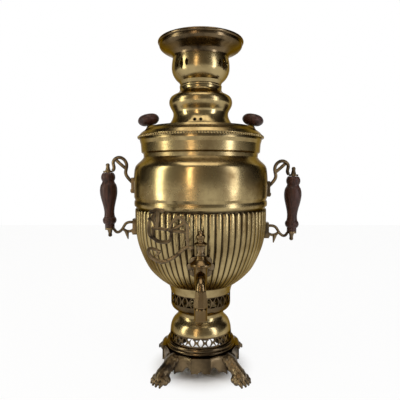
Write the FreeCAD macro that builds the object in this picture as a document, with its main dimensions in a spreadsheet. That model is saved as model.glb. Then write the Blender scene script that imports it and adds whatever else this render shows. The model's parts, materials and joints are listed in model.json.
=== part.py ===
import FreeCAD, Part
import math
import os
from types import SimpleNamespace

import Sketcher
from FreeCAD import Placement, Rotation, Vector

# A charcoal-heated brass samovar that stands on four paw feet.
# The origin is on the ground below the middle of the body, +Z is up and the tap points to -Y.
# Lengths are in millimetres and angles in degrees.

SIZES = {
    # Base
    "foot_height": 13.0,
    "foot_reach": 77.0,
    "foot_width": 24.0,
    "foot_length": 27.0,
    "toe_radius": 3.6,
    "leg_radius": 7.0,
    "plinth_radius": 54.0,
    "plinth_top": 35.5,
    "plinth_depth": 15.5,
    "plate_thickness": 4.0,
    "skirt_wall": 2.5,
    "panel_reach": 58.0,
    "panel_width": 27.0,
    "panel_height": 21.1,
    "panel_notch": 4.2,
    "foot_screw_radius": 2.0,
    "foot_screw_length": 10.0,
    "foot_screw_height": 26.0,
    "screw_head_radius": 3.4,
    "screw_head_height": 2.0,
    # Pedestal
    "air_radius": 40.0,
    "base_ring_radius": 52.0,
    "base_ring_height": 9.5,
    "gallery_radius": 46.4,
    "gallery_spread": 1.1,
    "lower_gallery_height": 14.5,
    "upper_gallery_height": 27.5,
    "gallery_openings": 24.0,
    "opening_half_width": 3.1,
    "pedestal_height": 30.0,
    "waist_radius": 34.8,
    "pedestal_top_radius": 37.0,
    "sheet_wall": 1.5,
    # Body
    "collar_radius": 46.0,
    "collar_height": 12.0,
    "collar_flare": 3.8,
    "collar_flange": 2.0,
    "grate_seat_radius": 26.0,
    "bowl_foot_radius": 50.5,
    "body_radius": 100.1,
    "bowl_height": 123.0,
    "shell_height": 95.5,
    "shell_bulge": 2.3,
    "neck_inset": 12.6,
    "mouth_inset": 6.7,
    "band_height": 7.5,
    "band_thickness": 1.4,
    "tube_radius": 30.6,
    "tube_wall": 1.3,
    "tube_clearance": 2.0,
    "grate_thickness": 3.0,
    "grate_play": 0.2,
    "grate_hole_radius": 3.0,
    # Lid
    "seat_gap": 0.3,
    "lid_radius": 95.4,
    "lid_play": 0.5,
    "lid_skirt_depth": 8.0,
    "lid_edge_height": 4.5,
    "lid_step_radius": 83.6,
    "lid_step_height": 16.9,
    "lid_plate_rise": 3.9,
    "lid_wall": 1.3,
    "beading_radius": 1.7,
    "dome_foot_radius": 50.9,
    "dome_height": 58.4,
    "dome_neck_radius": 32.5,
    "vent_radius": 2.5,
    "vent_height": 5.0,
    "vent_spacing": 8.6,
    "knob_spread": 78.0,
    "knob_tilt": 12.0,
    "knob_radius": 16.5,
    "knob_height": 17.0,
    "knob_stem_radius": 4.0,
    "knob_stem_rise": 5.5,
    "knob_socket_depth": 8.0,
    "knob_bolt_radius": 2.5,
    "knob_nut_radius": 4.8,
    "knob_nut_height": 4.0,
    # Crown that carries the teapot
    "crown_radius": 63.4,
    "crown_lip_radius": 2.8,
    "crown_collar_radius": 31.7,
    "crown_collar_height": 9.2,
    "crown_spigot_depth": 12.0,
    "crown_spigot_play": 0.5,
    "cup_radius": 44.8,
    "cup_height": 36.0,
    "cup_mouth_radius": 43.3,
    "flare_height": 21.9,
    "crown_turn": 51.0,
    # Tap
    "tap_height": 172.0,
    "tap_reach": 116.0,
    "shank_radius": 7.0,
    "shank_start": 68.0,
    "water_radius": 4.0,
    "rosette_radius": 18.5,
    "rosette_thickness": 2.5,
    "boss_radius": 9.5,
    "boss_front": 99.0,
    "washer_radius": 12.0,
    "shank_nut_radius": 12.0,
    "shank_nut_height": 6.0,
    "shank_nut_front": 76.0,
    "barrel_radius": 8.0,
    "barrel_below": 14.0,
    "barrel_above": 8.0,
    "plug_top_radius": 5.6,
    "plug_foot_radius": 4.6,
    "plug_play": 0.05,
    "plug_bore_radius": 3.4,
    "stem_radius": 3.2,
    "stem_rise": 32.0,
    "stud_radius": 2.5,
    "stud_length": 8.2,
    "plug_washer_radius": 6.5,
    "plug_washer_height": 1.6,
    "plug_nut_radius": 6.0,
    "plug_nut_height": 5.0,
    "bonnet_radius": 13.2,
    "bonnet_height": 12.7,
    "key_eye_radius": 6.0,
    "key_eye_height": 13.0,
    "finial_height": 19.0,
    "scroll_radius": 1.6,
    "spout_drop": 4.0,
    "spout_reach": 30.5,
    "spout_radius": 6.2,
    "outlet_radius": 7.85,
    "outlet_length": 13.0,
    "outlet_below": 48.0,
    # Side handles
    "handle_reach": 142.2,
    "handle_height": 254.5,
    "handle_tilt": 2.0,
    "right_handle_drop": 5.5,
    "grip_length": 84.4,
    "grip_radius": 11.6,
    "rod_radius": 2.6,
    "grip_play": 0.06,
    "eye_radius": 7.4,
    "eye_thickness": 3.0,
    "handle_nut_radius": 4.3,
    "handle_nut_height": 11.5,
    "nut_thread": 5.0,
    "lug_width": 14.0,
    "lug_thickness": 4.6,
    "lug_height": 23.8,
    "upper_lug_height": 277.4,
    "lower_lug_height": 213.8,
    "upper_bar_radius": 2.6,
    "lower_bar_radius": 2.2,
    "rivet_radius": 1.4,
    "rivet_spacing": 8.6,
    "rivet_drop": 8.2,
    "rivet_head_radius": 2.4,
    "rivet_head_height": 1.2,
}

# Turned curves as shares of the way from their low end to their high end: (outwards, upwards).
PEDESTAL_CURVE = [(-0.06, 0.14), (-0.40, 0.44), (-0.93, 0.68), (-1.0, 0.85)]
BOWL_CURVE = [(0.102, 0.024), (0.287, 0.081), (0.473, 0.154), (0.624, 0.236), (0.806, 0.39),
              (0.927, 0.537), (0.986, 0.70), (1.0, 0.886)]
DOME_CURVE = [(0.30, 0.13), (0.45, 0.345), (0.25, 0.475), (0.12, 0.603), (0.29, 0.76),
              (0.66, 0.83), (0.96, 0.91)]
CUP_CURVE = [(0.55, 0.17), (0.93, 0.42), (1.0, 0.65)]
FLARE_CURVE = [(0.19, 0.33), (0.70, 0.57), (0.92, 0.72)]

SIDES = {"left": -1, "right": 1}
FEET = {"front_right": -45, "back_right": 45, "back_left": 135, "front_left": -135}
FORWARD = Rotation(Vector(1, 0, 0), 90)
OUTWARD = Rotation(Vector(0, 1, 0), 90)

doc = FreeCAD.newDocument("Samovar")
pieces = []


class Size:
    """A length together with the sheet formula that it comes from."""

    def __init__(self, value, formula):
        self.value = float(value)
        self.formula = formula

    def __add__(self, other):
        other = as_size(other)
        return Size(self.value + other.value, "(%s + %s)" % (self.formula, other.formula))

    def __sub__(self, other):
        other = as_size(other)
        return Size(self.value - other.value, "(%s - %s)" % (self.formula, other.formula))

    def __mul__(self, other):
        other = as_size(other)
        return Size(self.value * other.value, "(%s * %s)" % (self.formula, other.formula))

    def __truediv__(self, other):
        other = as_size(other)
        return Size(self.value / other.value, "(%s / %s)" % (self.formula, other.formula))

    def __neg__(self):
        return Size(-self.value, "(0 - %s)" % self.formula)

    def __radd__(self, other):
        return as_size(other) + self

    def __rsub__(self, other):
        return as_size(other) - self

    def __rmul__(self, other):
        return as_size(other) * self


def as_size(number):
    if isinstance(number, Size):
        return number
    return Size(number, "(%.6g)" % number)


def fill_sheet():
    """Put the driving sizes in the sheet and return them by name."""
    sheet = doc.addObject("Spreadsheet::Sheet", "Sizes")
    found = {}
    for row, (name, value) in enumerate(SIZES.items(), start=1):
        sheet.set("A%d" % row, name)
        sheet.set("B%d" % row, str(value))
        sheet.setAlias("B%d" % row, name)
        found[name] = Size(value, "Sizes." + name)
    doc.recompute()
    return SimpleNamespace(**found)


dim = fill_sheet()


# Small tools for sketches and turned pieces

def line(*target):
    return ("line", [target])


def arc(via, target):
    return ("arc", [via, target])


def curve(*through):
    return ("curve", list(through))


def vector(point):
    return Vector(as_size(point[0]).value, as_size(point[1]).value, 0)


def pin(rules, kind, axis, index, end, coordinate):
    """Add the rule that holds one coordinate of a sketch point, with its formula."""
    size = as_size(coordinate)
    if abs(size.value) < 1e-6:
        rules.append((Sketcher.Constraint("PointOnObject", index, end, axis), None))
    elif size.value > 0:
        rules.append((Sketcher.Constraint(kind, -1, 1, index, end, size.value), size.formula))
    else:
        flipped = -size
        rules.append((Sketcher.Constraint(kind, index, end, -1, 1, flipped.value), flipped.formula))


def add_rules(sketch, rules):
    for rule, formula in rules:
        number = sketch.addConstraint(rule)
        if formula:
            sketch.setExpression("Constraints[%d]" % number, formula)


def draw_outline(sketch, start, *steps):
    """Draw one closed outline and pin each of its corners."""
    steps = list(steps)
    if (vector(steps[-1][1][-1]) - vector(start)).Length > 1e-6:
        steps.append(line(*start))
    here = start
    spans = []
    for kind, points in steps:
        path = [vector(here)] + [vector(point) for point in points]
        if kind == "line":
            shape = Part.LineSegment(path[0], path[1])
        elif kind == "arc":
            shape = Part.Arc(path[0], path[1], path[2])
        else:
            shape = Part.BSplineCurve()
            shape.interpolate(path)
        index = sketch.addGeometry(shape, False)
        begin = 1 if (sketch.getPoint(index, 1) - path[0]).Length < 1e-5 else 2
        spans.append((index, begin, here))
        here = points[-1]
    rules = []
    for number, (index, begin, corner) in enumerate(spans):
        last_index, last_begin = spans[number - 1][:2]
        join = Sketcher.Constraint("Coincident", last_index, 3 - last_begin, index, begin)
        rules.append((join, None))
        pin(rules, "DistanceX", -2, index, begin, corner[0])
        pin(rules, "DistanceY", -1, index, begin, corner[1])
    add_rules(sketch, rules)


def draw_circle(sketch, x, y, radius):
    radius = as_size(radius)
    index = sketch.addGeometry(Part.Circle(vector((x, y)), Vector(0, 0, 1), radius.value), False)
    rules = [(Sketcher.Constraint("Radius", index, radius.value), radius.formula)]
    pin(rules, "DistanceX", -2, index, 3, x)
    pin(rules, "DistanceY", -1, index, 3, y)
    add_rules(sketch, rules)


def datum(body, role):
    return [item for item in body.Origin.OriginFeatures if item.Role == role][0]


def sketch_on(body, role, name):
    sketch = body.newObject("Sketcher::SketchObject", name)
    sketch.AttachmentSupport = [(datum(body, role), "")]
    sketch.MapMode = "FlatFace"
    return sketch


def turned(name, start, *steps):
    """A body turned about +Z from a closed outline of (radius, height) points."""
    body = doc.addObject("PartDesign::Body", name)
    sketch = sketch_on(body, "XZ_Plane", name + "_outline")
    draw_outline(sketch, start, *steps)
    spin = body.newObject("PartDesign::Revolution", name + "_turning")
    spin.Profile = sketch
    spin.ReferenceAxis = (sketch, ["V_Axis"])
    spin.Angle = 360
    sketch.Visibility = False
    return body


def seam_aside(body):
    """Turn a round piece so that its joint line lies between the tap and the handles."""
    body.Placement = Placement(Vector(0, 0, 0), Rotation(Vector(0, 0, 1), 45))
    return body


def shares(low, high, shape):
    """Points between two corners, from shares of the way across and up."""
    return [(low[0] + (high[0] - low[0]) * across, low[1] + (high[1] - low[1]) * up)
            for across, up in shape]


def shell_steps(low, points, high, wall, lift):
    """The outline of a turned sheet: up its outside, then down its inside."""
    inside = [(r - wall, z + wall * lift) for r, z in reversed(points)]
    return [low, curve(*points, high), line(high[0] - wall, high[1]),
            curve(*inside, (low[0] - wall, low[1]))]


def pocket_through(body, sketch, name):
    pocket = body.newObject("PartDesign::Pocket", name)
    pocket.Profile = sketch
    pocket.Type = "ThroughAll"
    pocket.Reversed = True
    return pocket


def polar_copies(body, feature, count, name):
    pattern = body.newObject("PartDesign::PolarPattern", name)
    pattern.Originals = [feature]
    pattern.Axis = (datum(body, "Z_Axis"), [""])
    pattern.Angle = 360
    pattern.Occurrences = int(round(as_size(count).value))
    if isinstance(count, Size):
        pattern.setExpression("Occurrences", count.formula)
    body.Tip = pattern
    return pattern


# Small tools for primitives and booleans

def bind(item, name, size):
    size = as_size(size)
    setattr(item, name, size.value)
    item.setExpression(name, size.formula)


def place(item, at, rotation=Rotation()):
    at = [as_size(value) for value in at]
    item.Placement = Placement(Vector(*[value.value for value in at]), rotation)
    for letter, value in zip("xyz", at):
        item.setExpression("Placement.Base." + letter, value.formula)
    return item


def cylinder(name, radius, height, at=(0, 0, 0), rotation=Rotation()):
    item = doc.addObject("Part::Cylinder", name)
    bind(item, "Radius", radius)
    bind(item, "Height", height)
    return place(item, at, rotation)


def cone(name, foot, top, height, at=(0, 0, 0), rotation=Rotation()):
    item = doc.addObject("Part::Cone", name)
    bind(item, "Radius1", foot)
    bind(item, "Radius2", top)
    bind(item, "Height", height)
    return place(item, at, rotation)


def ellipsoid(name, up, along, across, at):
    item = doc.addObject("Part::Ellipsoid", name)
    bind(item, "Radius1", up)
    bind(item, "Radius2", along)
    bind(item, "Radius3", across)
    return place(item, at)


def box(name, length, width, height, at, rotation=Rotation()):
    item = doc.addObject("Part::Box", name)
    bind(item, "Length", length)
    bind(item, "Width", width)
    bind(item, "Height", height)
    return place(item, at, rotation)


def hexagon(name, radius, height, at=(0, 0, 0), rotation=Rotation()):
    item = doc.addObject("Part::Prism", name)
    item.Polygon = 6
    bind(item, "Circumradius", radius)
    bind(item, "Height", height)
    return place(item, at, rotation)


def fuse(name, items):
    item = doc.addObject("Part::MultiFuse", name)
    item.Shapes = items
    return item


def cut(name, base, *tools):
    """Cut the tools away from the base one after another."""
    for number, tool in enumerate(tools):
        last = number == len(tools) - 1
        item = doc.addObject("Part::Cut", name if last else "%s_cut_%d" % (name, number))
        item.Base = base
        item.Tool = tool
        base = item
    return item


def overlap(name, first, second):
    item = doc.addObject("Part::Common", name)
    item.Base = first
    item.Tool = second
    return item


def round_bar(name, points, radius):
    """A round bar of one thickness along a smooth line through the points."""
    path = [Vector(*[as_size(value).value for value in point]) for point in points]
    line_of_bar = Part.BSplineCurve()
    line_of_bar.interpolate(path)
    start = line_of_bar.tangent(line_of_bar.FirstParameter)[0]
    ring = Part.Wire(Part.makeCircle(radius.value, path[0], start))
    item = doc.addObject("Part::Feature", name)
    item.Shape = Part.Wire(line_of_bar.toShape()).makePipeShell([ring], True, False)
    return item


def keep(item, label):
    """Name a finished sub-part; its label is also its file's name."""
    item.Label = label
    pieces.append(item)
    return item


# Heights of the joints between the stacked pieces

plinth_top = dim.plinth_top
gallery_base = plinth_top + dim.base_ring_height
pedestal_base = gallery_base + dim.lower_gallery_height
upper_gallery_base = pedestal_base + dim.pedestal_height
collar_base = upper_gallery_base + dim.upper_gallery_height
bowl_base = collar_base + dim.collar_height
seam = bowl_base + dim.bowl_height
mouth = seam + dim.shell_height
lid_base = mouth + dim.seat_gap
lid_step = lid_base + dim.lid_step_height
lid_top = lid_step + dim.lid_plate_rise
dome_top = lid_top + dim.dome_height
crown_base = dome_top + dim.seat_gap
tube_top = crown_base - dim.crown_spigot_depth - dim.tube_clearance
cup_base = crown_base + dim.crown_collar_height
flare_base = cup_base + dim.cup_height
flare_top = flare_base + dim.flare_height


# Plinth and feet

def make_plinth():
    skirt_foot = plinth_top - dim.plinth_depth
    disc = cylinder("plinth_disc", dim.plinth_radius, dim.plinth_depth, (0, 0, skirt_foot))
    hollow = cylinder("plinth_hollow", dim.plinth_radius - dim.skirt_wall,
                      dim.plinth_depth - dim.plate_thickness, (0, 0, skirt_foot))
    air = cylinder("plinth_air_hole", dim.air_radius, dim.plinth_depth + 2, (0, 0, skirt_foot - 1))
    panel_start = dim.plinth_radius - dim.skirt_wall - 1
    panels = []
    cuts = [air]
    for number in range(4):
        turn = Rotation(Vector(0, 0, 1), 90 * number)
        panel = box("panel_block_%d" % number, dim.panel_reach - panel_start, dim.panel_width,
                    dim.panel_height, (panel_start, -dim.panel_width / 2,
                                       plinth_top - dim.panel_height))
        edge = dim.panel_notch * math.sqrt(2)
        notch = box("panel_notch_%d" % number, dim.panel_reach, edge, edge,
                    (0, 0, plinth_top - dim.panel_height - dim.panel_notch),
                    Rotation(Vector(1, 0, 0), 45))
        side = cut("panel_%d" % number, panel, notch)
        side.Placement = Placement(Vector(0, 0, 0), turn)
        panels.append(side)
    for name, angle in FEET.items():
        outward = Rotation(Vector(0, 0, 1), angle).multiply(OUTWARD)
        cuts.append(cylinder("skirt_hole_" + name, dim.foot_screw_radius, dim.plinth_radius + 1,
                             (0, 0, dim.foot_screw_height), outward))
    blank = cut("plinth_shell", disc, hollow)
    whole = fuse("plinth_blank", [blank] + panels)
    keep(cut("plinth", whole, *cuts), "plinth")


def make_foot(name, angle):
    """A cast paw whose leg rises to the skirt, made along +X and turned to its corner."""
    half = dim.foot_width / 2
    pad = ellipsoid("pad_" + name, dim.foot_height, dim.foot_length / 2, half - 1,
                    (dim.foot_reach, 0, dim.foot_height / 2))
    toes = []
    for number in range(4):
        across = (number - 1.5) * 2 * (half - dim.toe_radius) / 3
        back = abs(number - 1.5) * 1.6
        toes.append(ellipsoid("toe_%s_%d" % (name, number), dim.toe_radius * 1.7, dim.toe_radius * 2.2,
                              dim.toe_radius, (dim.foot_reach + dim.foot_length / 2 - 3 - back, across,
                                               dim.toe_radius * 1.3)))
    leg_low = Vector(dim.foot_reach.value - 3, 0, dim.foot_height.value - 1)
    leg_high = Vector(dim.plinth_radius.value - 6, 0, dim.foot_screw_height.value + 1)
    slope = leg_high - leg_low
    leg = cone("leg_" + name, dim.leg_radius + 2.5, dim.leg_radius, slope.Length,
               (dim.foot_reach - 3, 0, dim.foot_height - 1), Rotation(Vector(0, 0, 1), slope))
    core = cylinder("leg_core_" + name, dim.plinth_radius, 60, (0, 0, 0))
    below = box("ground_" + name, 200, 100, 40, (0, -50, -40))
    above = box("above_" + name, 200, 100, 40, (0, -50, plinth_top - 0.5))
    hole = cylinder("leg_hole_" + name, dim.foot_screw_radius, dim.foot_screw_length,
                    (dim.plinth_radius - 2, 0, dim.foot_screw_height), OUTWARD)
    solid = fuse("foot_blank_" + name, [pad, leg] + toes)
    foot = cut("foot_" + name, solid, core, below, above, hole)
    foot.Placement = Placement(Vector(0, 0, 0), Rotation(Vector(0, 0, 1), angle))
    keep(foot, "foot_" + name)


def make_foot_screws():
    screws = []
    skirt_inside = dim.plinth_radius - dim.skirt_wall
    for name, angle in FEET.items():
        head = cylinder("head_" + name, dim.screw_head_radius, dim.screw_head_height,
                        (skirt_inside - dim.screw_head_height - 0.12, 0, dim.foot_screw_height),
                        OUTWARD)
        shank = cylinder("shank_" + name, dim.foot_screw_radius,
                         dim.skirt_wall + dim.foot_screw_length - 2,
                         (skirt_inside - 0.5, 0, dim.foot_screw_height), OUTWARD)
        screw = fuse("screw_" + name, [head, shank])
        screw.Placement = Placement(Vector(0, 0, 0), Rotation(Vector(0, 0, 1), angle))
        screws.append(screw)
    keep(fuse("foot_screws", screws), "foot_screws")


# Pedestal with its two pierced galleries

def pierce(body, middle, height):
    """Cut the ring of lens-shaped openings and the pairs of triangles between them."""
    sketch = sketch_on(body, "XZ_Plane", body.Name + "_openings")
    low = middle - height / 2
    high = middle + height / 2
    half = dim.opening_half_width
    pitch = dim.gallery_radius * math.pi / dim.gallery_openings
    draw_outline(sketch, (0, low), arc((half, middle), (0, high)), arc((-half, middle), (0, low)))
    spread = pitch - 2
    draw_outline(sketch, (pitch - spread, high), line(pitch + spread, high), line(pitch, middle + 1.2))
    draw_outline(sketch, (pitch - spread, low), line(pitch + spread, low), line(pitch, middle - 1.2))
    pocket = pocket_through(body, sketch, body.Name + "_piercing")
    polar_copies(body, pocket, dim.gallery_openings, body.Name + "_ring")


def make_pedestal():
    wall = dim.sheet_wall
    ring = dim.base_ring_radius
    inner = dim.gallery_radius - wall * 2
    rise = dim.base_ring_height
    keep(turned("base_ring", (inner, plinth_top), line(ring, plinth_top),
                arc((ring + 1, plinth_top + rise * 0.28), (ring - 0.8, plinth_top + rise * 0.5)),
                arc((ring - 0.9, plinth_top + rise * 0.8), (ring - 2.5, gallery_base)),
                line(inner, gallery_base)), "base_ring")
    foot = dim.gallery_radius + dim.gallery_spread
    lower = turned("lower_gallery", (foot - wall, gallery_base), line(foot, gallery_base),
                   line(dim.gallery_radius, pedestal_base), line(dim.gallery_radius - wall, pedestal_base))
    pierce(lower, gallery_base + dim.lower_gallery_height / 2, dim.lower_gallery_height - 3.6)
    keep(lower, "lower_gallery")

    low = (dim.gallery_radius, pedestal_base)
    high = (dim.pedestal_top_radius, upper_gallery_base)
    span = dim.gallery_radius - dim.waist_radius
    points = [(dim.gallery_radius + span * across, pedestal_base + dim.pedestal_height * up)
              for across, up in PEDESTAL_CURVE]
    keep(turned("pedestal", *shell_steps(low, points, high, wall, 0)), "pedestal")

    top = dim.gallery_radius - 0.8
    neck = dim.pedestal_top_radius
    bend = upper_gallery_base + dim.upper_gallery_height * 0.38
    upper = turned("upper_gallery", (neck, upper_gallery_base),
                   arc((neck + (top - neck) * 0.72, upper_gallery_base + 3.2), (top, bend)),
                   line(top, collar_base), line(top - wall, collar_base), line(top - wall, bend),
                   arc((neck + (top - neck) * 0.72 - wall, upper_gallery_base + 4.4),
                       (neck - wall, upper_gallery_base)))
    pierce(upper, (bend + collar_base) / 2, collar_base - bend - 2.4)
    keep(upper, "upper_gallery")


# Water vessel and fire tube

def bowl_corners():
    low = (dim.bowl_foot_radius, bowl_base)
    high = (dim.body_radius, seam)
    return low, shares(low, high, BOWL_CURVE), high


def shell_outline():
    """The outside of the upper body, from the seam up to its mouth."""
    r = dim.body_radius
    neck = r - dim.neck_inset
    rim = r - dim.mouth_inset
    rise = dim.shell_height
    return [(r, seam), line(r, seam + rise * 0.042), line(r + 1.5, seam + rise * 0.084),
            curve((r + dim.shell_bulge, seam + rise * 0.27), (r + 1.5, seam + rise * 0.48),
                  (r - 0.8, seam + rise * 0.575), (r - 6.7, seam + rise * 0.64),
                  (neck, seam + rise * 0.71)),
            line(neck + 0.4, seam + rise * 0.765), line(neck + 3.4, seam + rise * 0.79),
            line(neck + 4.4, seam + rise * 0.92), line(rim, seam + rise * 0.975), line(rim, mouth)]


def inside_of(outline, wall):
    """The same turned line moved inwards and run backwards."""
    corners = [outline[0]] + [step[1][-1] for step in outline[1:]]
    steps = []
    for number in range(len(outline) - 1, 0, -1):
        kind, points = outline[number]
        back = list(reversed(points[:-1])) + [corners[number - 1]]
        steps.append((kind, [(r - wall, z) for r, z in back]))
    return steps


def make_collar():
    wall = 2.5
    low = dim.collar_radius
    top = low + dim.collar_flare
    keep(turned("bowl_collar", (dim.grate_seat_radius, collar_base), line(low, collar_base),
                line(low + 1.2, collar_base + 5), line(top, bowl_base),
                line(top - wall - 0.8, bowl_base),
                line(low - wall, collar_base + dim.collar_flange),
                line(dim.grate_seat_radius, collar_base + dim.collar_flange)), "bowl_collar")


def make_vessel():
    """The bowl with the hole for the tap, the upper shell, the band over their seam and the floor."""
    wall = dim.sheet_wall
    low, points, high = bowl_corners()
    bowl = seam_aside(turned("bowl_blank", *shell_steps(low, points, high, wall, 0)))
    hole = cylinder("tap_hole", dim.shank_radius, 60, (0, -60, dim.tap_height), FORWARD)
    keep(cut("bowl", bowl, hole), "bowl")
    outline = shell_outline()
    mouth_inside = line(outline[-1][1][-1][0] - wall, mouth)
    shell = seam_aside(turned("body_shell", *outline, mouth_inside, *inside_of(outline, wall)))
    keep(shell, "body_shell")
    radius = dim.body_radius
    half = dim.band_height / 2
    edge = radius + dim.band_thickness
    band_low = seam - half - 1
    keep(turned("seam_band", (radius + 0.02, band_low), line(edge - 0.5, band_low),
                arc((edge, band_low + half), (edge - 0.5, seam + half - 1)),
                line(radius + 0.02, seam + half - 1)), "seam_band")
    foot = dim.bowl_foot_radius - wall
    tube = dim.tube_radius
    keep(turned("bowl_floor", (tube, bowl_base), line(foot - 0.1, bowl_base),
                line(foot - 0.1, bowl_base + wall), line(tube, bowl_base + wall)), "bowl_floor")


def make_fire_tube():
    seat = collar_base + dim.collar_flange
    outer = dim.tube_radius
    inner = outer - dim.tube_wall
    keep(turned("fire_tube", (inner, seat), line(outer, seat), line(outer, tube_top),
                line(inner, tube_top)), "fire_tube")
    grate = doc.addObject("PartDesign::Body", "fire_grate")
    plan = sketch_on(grate, "XY_Plane", "grate_plan")
    draw_circle(plan, 0, 0, inner - dim.grate_play)
    plate = grate.newObject("PartDesign::Pad", "grate_plate")
    plate.Profile = plan
    bind(plate, "Length", dim.grate_thickness)
    rings = [(6, 0.36), (12, 0.74)]
    for number, (count, share) in enumerate(rings):
        sketch = sketch_on(grate, "XY_Plane", "grate_hole_%d" % number)
        draw_circle(sketch, inner * share, 0, dim.grate_hole_radius)
        pocket = pocket_through(grate, sketch, "grate_pocket_%d" % number)
        polar_copies(grate, pocket, count, "grate_ring_%d" % number)
    place(grate, (0, 0, seat))
    keep(grate, "fire_grate")


def body_cores():
    """Solid copies of the body's outside and inside, which seated pieces are trimmed by."""
    low, points, high = bowl_corners()
    wall = dim.sheet_wall
    plate = dim.rosette_thickness

    def bowl_core(name, shift):
        moved = [(r + shift, z) for r, z in points]
        return seam_aside(turned(name, (0, low[1]), line(low[0] + shift, low[1]),
                                 curve(*moved, (high[0] + shift, high[1])), line(0, high[1])))

    outline = shell_outline()
    shell = seam_aside(turned("shell_core", (0, seam), line(*outline[0]), *outline[1:], line(0, mouth)))
    return SimpleNamespace(bowl=bowl_core("bowl_core", 0), shell=shell,
                           inside=bowl_core("bowl_inside_core", -wall),
                           rosette=bowl_core("rosette_core", plate))


# Tap

def make_tap(cores):
    level = dim.tap_height
    axis = -dim.tap_reach
    foot = level - dim.barrel_below
    top = level + dim.barrel_above
    hole = cylinder("rosette_hole", dim.shank_radius, 60, (0, -60, level), FORWARD)
    disc = cylinder("rosette_disc", dim.rosette_radius, 60, (0, -60, level), FORWARD)
    saddle = overlap("rosette_saddle", disc, cores.rosette)
    keep(cut("tap_rosette", saddle, cores.bowl, hole), "tap_rosette")

    soft = cylinder("washer_disc", dim.washer_radius, 60, (0, -dim.shank_nut_front, level), FORWARD)
    washer = overlap("washer_saddle", soft, cores.inside)
    shank_space = cylinder("washer_hole", dim.shank_radius, 60, (0, -60, level), FORWARD)
    keep(cut("tap_washer", washer, shank_space), "tap_washer")

    nut = hexagon("shank_nut_blank", dim.shank_nut_radius, dim.shank_nut_height,
                  (0, dim.shank_nut_height - dim.shank_nut_front, level), FORWARD)
    nut_hole = cylinder("shank_nut_hole", dim.shank_radius, 60, (0, -60, level), FORWARD)
    keep(cut("tap_shank_nut", nut, nut_hole), "tap_shank_nut")

    boss = cylinder("boss_blank", dim.boss_radius, dim.boss_front - 70, (0, -70, level), FORWARD)
    boss = cut("tap_boss", boss, cores.rosette)
    shank = cylinder("tap_shank", dim.shank_radius, dim.tap_reach - dim.shank_start,
                     (0, -dim.shank_start, level), FORWARD)
    barrel = cylinder("tap_barrel", dim.barrel_radius, dim.barrel_below + dim.barrel_above,
                      (0, axis, foot))
    flow = level - dim.spout_drop
    mouth_y = axis - dim.spout_reach
    outlet_foot = level - dim.outlet_below
    outlet_top = outlet_foot + dim.outlet_length
    route = [(0, axis - 3, flow), (0, axis - 16, flow), (0, mouth_y + 3.6, flow - 4.2),
             (0, mouth_y, flow - 16), (0, mouth_y, outlet_top - 2)]
    spout = round_bar("tap_spout", route, dim.spout_radius)
    outlet = cylinder("tap_outlet", dim.outlet_radius, dim.outlet_length, (0, mouth_y, outlet_foot))
    ring = cone("tap_outlet_shoulder", dim.outlet_radius, dim.spout_radius - 0.6, 4,
                (0, mouth_y, outlet_top))
    metal = fuse("tap_metal", [boss, shank, barrel, spout, outlet, ring])
    water = round_bar("spout_water", route, dim.water_radius)
    outlet_water = cylinder("outlet_water", dim.water_radius + 0.6, dim.outlet_length,
                            (0, mouth_y, outlet_foot))
    shank_water = cylinder("shank_water", dim.water_radius, dim.tap_reach - dim.shank_start,
                           (0, -dim.shank_start, level), FORWARD)
    play = dim.plug_play
    seat = cone("plug_seat", dim.plug_foot_radius + play, dim.plug_top_radius + play,
                dim.barrel_below + dim.barrel_above, (0, axis, foot))
    keep(cut("tap_body", metal, water, outlet_water, shank_water, seat), "tap_body")

    plug = cone("plug_cone", dim.plug_foot_radius, dim.plug_top_radius,
                dim.barrel_below + dim.barrel_above, (0, axis, foot))
    stem = cylinder("plug_stem", dim.stem_radius, dim.stem_rise, (0, axis, top))
    stud = cylinder("plug_stud", dim.stud_radius, dim.stud_length, (0, axis, foot - dim.stud_length))
    bore = cylinder("plug_bore", dim.plug_bore_radius, 30, (-15, axis, level - 2), OUTWARD)
    keep(cut("tap_plug", fuse("plug_blank", [plug, stem, stud]), bore), "tap_plug")

    base = as_size(dim.seat_gap)
    wide = dim.bonnet_radius
    rise = dim.bonnet_height
    stem_r = dim.stem_radius
    bonnet = turned("tap_bonnet", (stem_r, base), line(wide - 0.6, base),
                    arc((wide, base + 1.6), (wide - 1.4, base + 4)),
                    curve((wide * 0.6, base + rise * 0.6), (wide * 0.42, rise + base)),
                    line(stem_r, rise + base))
    place(bonnet, (0, axis, top))
    keep(bonnet, "tap_bonnet")

    eye_foot = top + dim.seat_gap + dim.bonnet_height
    make_key(axis, eye_foot)
    finial_foot = eye_foot + dim.key_eye_height
    rise = dim.finial_height
    socket = dim.stem_rise - (finial_foot - top)
    finial = turned("tap_finial", (stem_r, 0), line(7, 0), arc((8, 1.6), (6.5, 3.2)),
                    curve((4.2, rise * 0.34), (5.8, rise * 0.58), (3, rise * 0.82),
                          (2.2, rise * 0.93), (0, rise)),
                    line(0, socket), line(stem_r, socket))
    place(finial, (0, axis, finial_foot))
    keep(finial, "tap_finial")

    washer_foot = foot - dim.plug_play * 2 - dim.plug_washer_height
    disc = cylinder("plug_washer_disc", dim.plug_washer_radius, dim.plug_washer_height,
                    (0, axis, washer_foot))
    disc_hole = cylinder("plug_washer_hole", dim.stud_radius, 20, (0, axis, washer_foot - 8))
    keep(cut("plug_washer", disc, disc_hole), "plug_washer")
    block = hexagon("plug_nut_blank", dim.plug_nut_radius, dim.plug_nut_height,
                    (0, axis, washer_foot - dim.plug_nut_height))
    block_hole = cylinder("plug_nut_hole", dim.stud_radius, 20, (0, axis, washer_foot - 12))
    keep(cut("plug_nut", block, block_hole), "plug_nut")


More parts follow.
